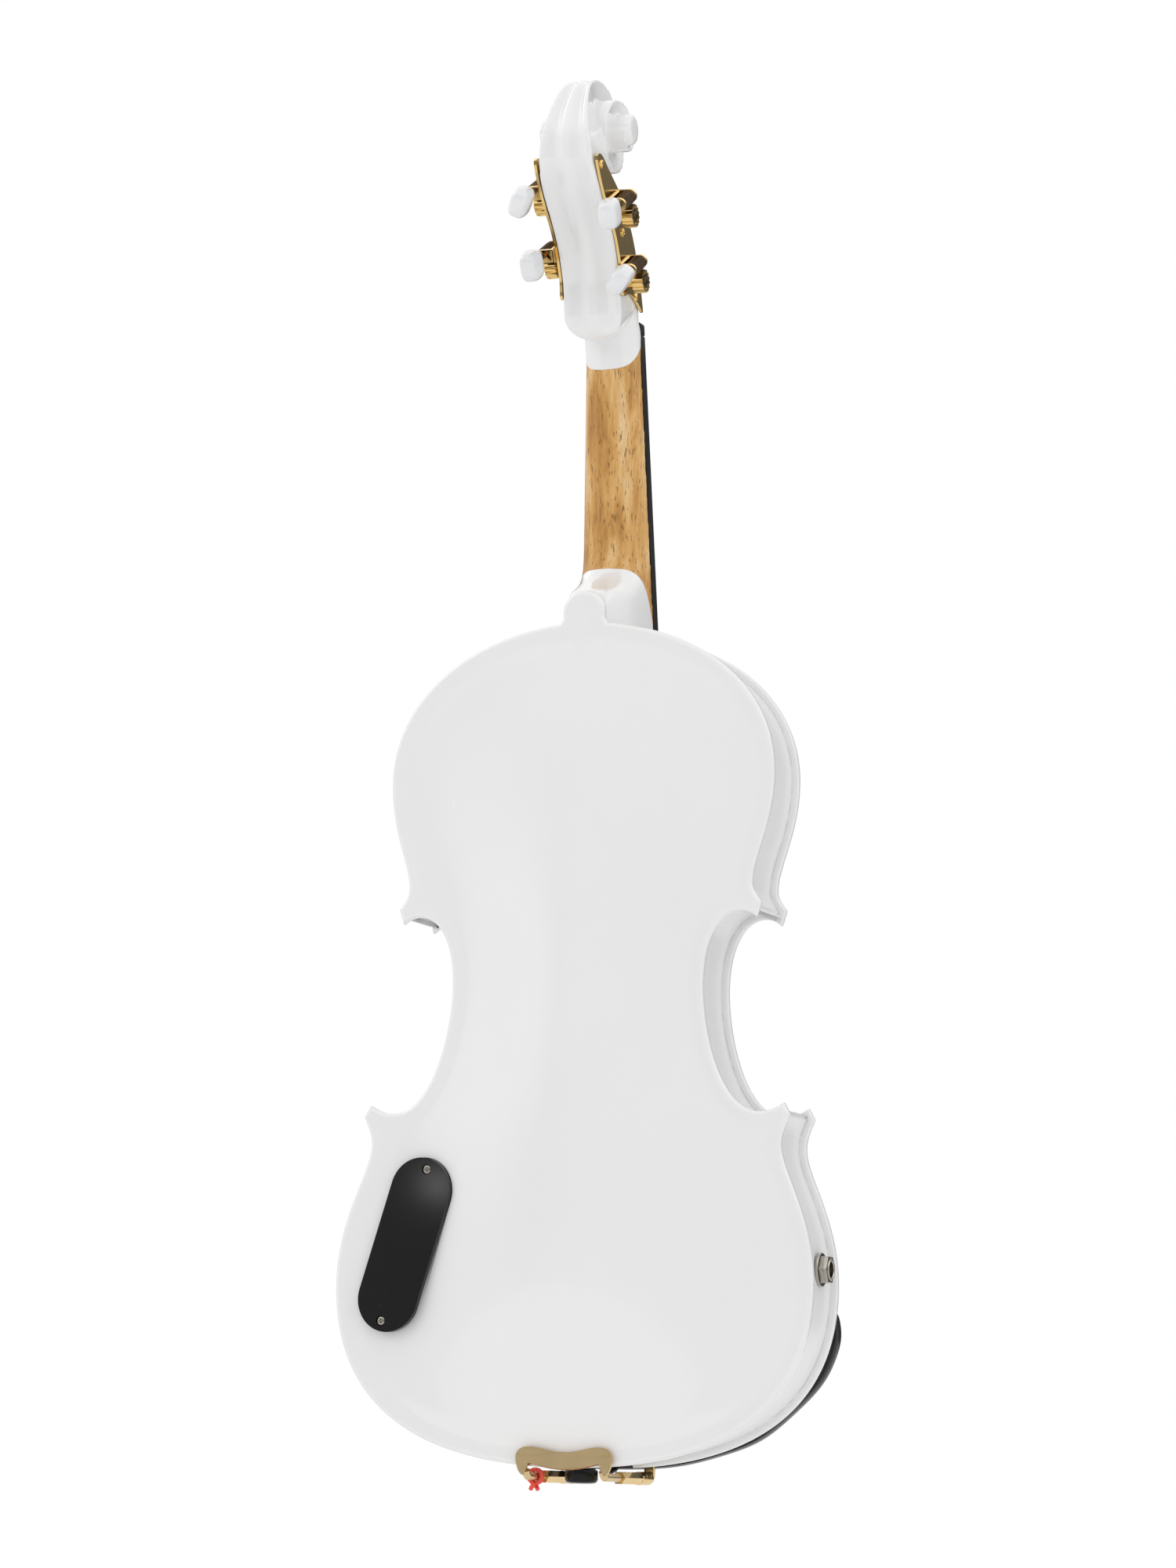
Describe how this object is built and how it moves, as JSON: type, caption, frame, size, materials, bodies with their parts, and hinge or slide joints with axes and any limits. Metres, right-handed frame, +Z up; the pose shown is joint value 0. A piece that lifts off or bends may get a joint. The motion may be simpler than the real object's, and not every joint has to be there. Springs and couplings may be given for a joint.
{
  "type": "electric violin",
  "caption": "Full-size electric violin with a white lacquered body, worm-gear tuning machines, battery cover, output jack, chin rest and its clamp",
  "frame": {"origin": "at the pegbox throat under the scroll, where a hanger's yoke carries the head", "axes": "+Z up the neck to the scroll, -Y out of the belly with the strings, +Y out of the back, +X towards the treble side"},
  "size_m": [0.2144, 0.1236, 0.5999],
  "materials": {
    "white_lacquer": "white polyester lacquer over maple and spruce, polished; the neck between head and heel is bare oiled maple",
    "spruce": "raw quarter-cut spruce",
    "maple": "unvarnished maple",
    "ebony": "black-stained hardwood, satin",
    "gloss_black": "polished black plastic",
    "black_plastic": "moulded black plastic",
    "black_cord": "black nylon cord",
    "string_steel": "wound steel strings",
    "gold": "gold-plated, polished",
    "dark_steel": "blackened steel",
    "pearl": "white pearloid plastic",
    "cork": "pressed cork",
    "battery_case": "dark battery case without any print",
    "circuit_board": "green circuit board",
    "nickel": "dark nickel plating",
    "red_cord": "soft red cord"
  },
  "bodies": {
    "body": {"back_plate": "white_lacquer", "top_plate": "white_lacquer", "rib_garland": "white_lacquer", "bass_bar": "spruce", "sound_post": "spruce", "neck_and_scroll": "white_lacquer", "fingerboard": "ebony", "nut": "ebony", "saddle": "ebony", "bridge": "maple", "bridge_pickup": "black_plastic", "string_g": "string_steel", "string_d": "string_steel", "string_a": "string_steel", "string_e": "string_steel", "tailpiece": "ebony", "tailgut": "black_cord", "end_button": "ebony", "chin_rest": "ebony", "chin_rest_post_treble": "gold", "chin_rest_post_bass": "gold", "tuner_plate_treble": "gold", "tuner_plate_bass": "gold", "battery": "battery_case", "battery_box": "black_plastic", "battery_cover": "gloss_black", "preamp_board": "circuit_board", "jack_socket": "nickel", "jack_nut": "nickel"},
    "clamp_foot": {"clamp_bracket": "gold", "clamp_cork": "cork", "red_tie": "red_cord"},
    "barrel_treble": {"clamp_barrel_treble": "gold"},
    "barrel_bass": {"clamp_barrel_bass": "gold"},
    "volume_control": {"volume_knob": "gloss_black"},
    "tone_control": {"tone_knob": "gloss_black"},
    "worm_g": {"tuner_worm_g": "dark_steel", "tuner_button_g": "pearl"},
    "wheel_g": {"tuner_gear_g": "gold", "tuner_post_g": "gold"},
    "worm_e": {"tuner_worm_e": "dark_steel", "tuner_button_e": "pearl"},
    "wheel_e": {"tuner_gear_e": "gold", "tuner_post_e": "gold"},
    "worm_d": {"tuner_worm_d": "dark_steel", "tuner_button_d": "pearl"},
    "wheel_d": {"tuner_gear_d": "gold", "tuner_post_d": "gold"},
    "worm_a": {"tuner_worm_a": "dark_steel", "tuner_button_a": "pearl"},
    "wheel_a": {"tuner_gear_a": "gold", "tuner_post_a": "gold"},
    "screw_g": {"fine_tuner_screw_g": "gold"},
    "lever_g": {"fine_tuner_lever_g": "gold"},
    "screw_d": {"fine_tuner_screw_d": "gold"},
    "lever_d": {"fine_tuner_lever_d": "gold"},
    "screw_a": {"fine_tuner_screw_a": "gold"},
    "lever_a": {"fine_tuner_lever_a": "gold"},
    "screw_e": {"fine_tuner_screw_e": "gold"},
    "lever_e": {"fine_tuner_lever_e": "gold"}
  },
  "joints": [
    {"name": "tuner_g", "type": "hinge", "parent": "body", "child": "worm_g", "pos_m": [-0.0193, -0.01988, -0.03819], "axis": [0, 0.866, -0.5], "continuous": true},
    {"name": "wheel_g", "type": "hinge", "parent": "body", "child": "wheel_g", "pos_m": [-0.0193, -0.02727, -0.04299], "axis": [1, 0, 0], "continuous": true},
    {"name": "tuner_e", "type": "hinge", "parent": "body", "child": "worm_e", "pos_m": [0.0193, -0.01541, -0.03044], "axis": [0, 0.866, -0.5], "continuous": true},
    {"name": "wheel_e", "type": "hinge", "parent": "body", "child": "wheel_e", "pos_m": [0.0193, -0.0228, -0.03524], "axis": [1, 0, 0], "continuous": true},
    {"name": "tuner_d", "type": "hinge", "parent": "body", "child": "worm_d", "pos_m": [-0.0193, -0.00538, -0.01306], "axis": [0, 0.866, -0.5], "continuous": true},
    {"name": "wheel_d", "type": "hinge", "parent": "body", "child": "wheel_d", "pos_m": [-0.0193, -0.01277, -0.01786], "axis": [1, 0, 0], "continuous": true},
    {"name": "tuner_a", "type": "hinge", "parent": "body", "child": "worm_a", "pos_m": [0.0193, -0.00137, -0.00613], "axis": [0, 0.866, -0.5], "continuous": true},
    {"name": "wheel_a", "type": "hinge", "parent": "body", "child": "wheel_a", "pos_m": [0.0193, -0.00876, -0.01092], "axis": [1, 0, 0], "continuous": true},
    {"name": "fine_tuner_g", "type": "hinge", "parent": "body", "child": "screw_g", "pos_m": [-0.0135, -0.08, -0.4465], "axis": [0, 1, 0], "range_deg": [0, 1440]},
    {"name": "lever_g", "type": "hinge", "parent": "body", "child": "lever_g", "pos_m": [-0.0135, -0.0819, -0.434], "axis": [1, 0, 0], "range_deg": [0, 6]},
    {"name": "fine_tuner_d", "type": "hinge", "parent": "body", "child": "screw_d", "pos_m": [-0.0045, -0.08, -0.4465], "axis": [0, 1, 0], "range_deg": [0, 1440]},
    {"name": "lever_d", "type": "hinge", "parent": "body", "child": "lever_d", "pos_m": [-0.0045, -0.0844, -0.434], "axis": [1, 0, 0], "range_deg": [0, 6]},
    {"name": "fine_tuner_a", "type": "hinge", "parent": "body", "child": "screw_a", "pos_m": [0.0045, -0.08, -0.4465], "axis": [0, 1, 0], "range_deg": [0, 1440]},
    {"name": "lever_a", "type": "hinge", "parent": "body", "child": "lever_a", "pos_m": [0.0045, -0.0844, -0.434], "axis": [1, 0, 0], "range_deg": [0, 6]},
    {"name": "fine_tuner_e", "type": "hinge", "parent": "body", "child": "screw_e", "pos_m": [0.0135, -0.08, -0.4465], "axis": [0, 1, 0], "range_deg": [0, 1440]},
    {"name": "lever_e", "type": "hinge", "parent": "body", "child": "lever_e", "pos_m": [0.0135, -0.0819, -0.434], "axis": [1, 0, 0], "range_deg": [0, 6]},
    {"name": "clamp_loosen", "type": "slide", "parent": "body", "child": "clamp_foot", "axis": [0, 1, 0], "range_m": [0, 0.004]},
    {"name": "barrel_treble", "type": "hinge", "parent": "body", "child": "barrel_treble", "pos_m": [0.017, -0.0465, -0.5516], "axis": [0, 1, 0], "range_deg": [0, 1030]},
    {"name": "barrel_bass", "type": "hinge", "parent": "body", "child": "barrel_bass", "pos_m": [-0.017, -0.0465, -0.5516], "axis": [0, 1, 0], "range_deg": [0, 1030]},
    {"name": "volume", "type": "hinge", "parent": "body", "child": "volume_control", "pos_m": [0.07501, -0.06, -0.49802], "axis": [0, -1, 0], "range_deg": [0, 300]},
    {"name": "tone", "type": "hinge", "parent": "body", "child": "tone_control", "pos_m": [0.05601, -0.06, -0.51596], "axis": [0, -1, 0], "range_deg": [0, 300]}
  ],
  "couplings": [
    {"joint": "wheel_g", "follows": "tuner_g", "ratio": -0.071429},
    {"joint": "wheel_e", "follows": "tuner_e", "ratio": 0.071429},
    {"joint": "wheel_d", "follows": "tuner_d", "ratio": -0.071429},
    {"joint": "wheel_a", "follows": "tuner_a", "ratio": 0.071429},
    {"joint": "lever_g", "follows": "fine_tuner_g", "ratio": 0.0041667},
    {"joint": "lever_d", "follows": "fine_tuner_d", "ratio": 0.0041667},
    {"joint": "lever_a", "follows": "fine_tuner_a", "ratio": 0.0041667},
    {"joint": "lever_e", "follows": "fine_tuner_e", "ratio": 0.0041667},
    {"joint": "barrel_treble", "follows": "clamp_loosen", "rad_per_m": 4488},
    {"joint": "barrel_bass", "follows": "clamp_loosen", "rad_per_m": 4488}
  ]
}
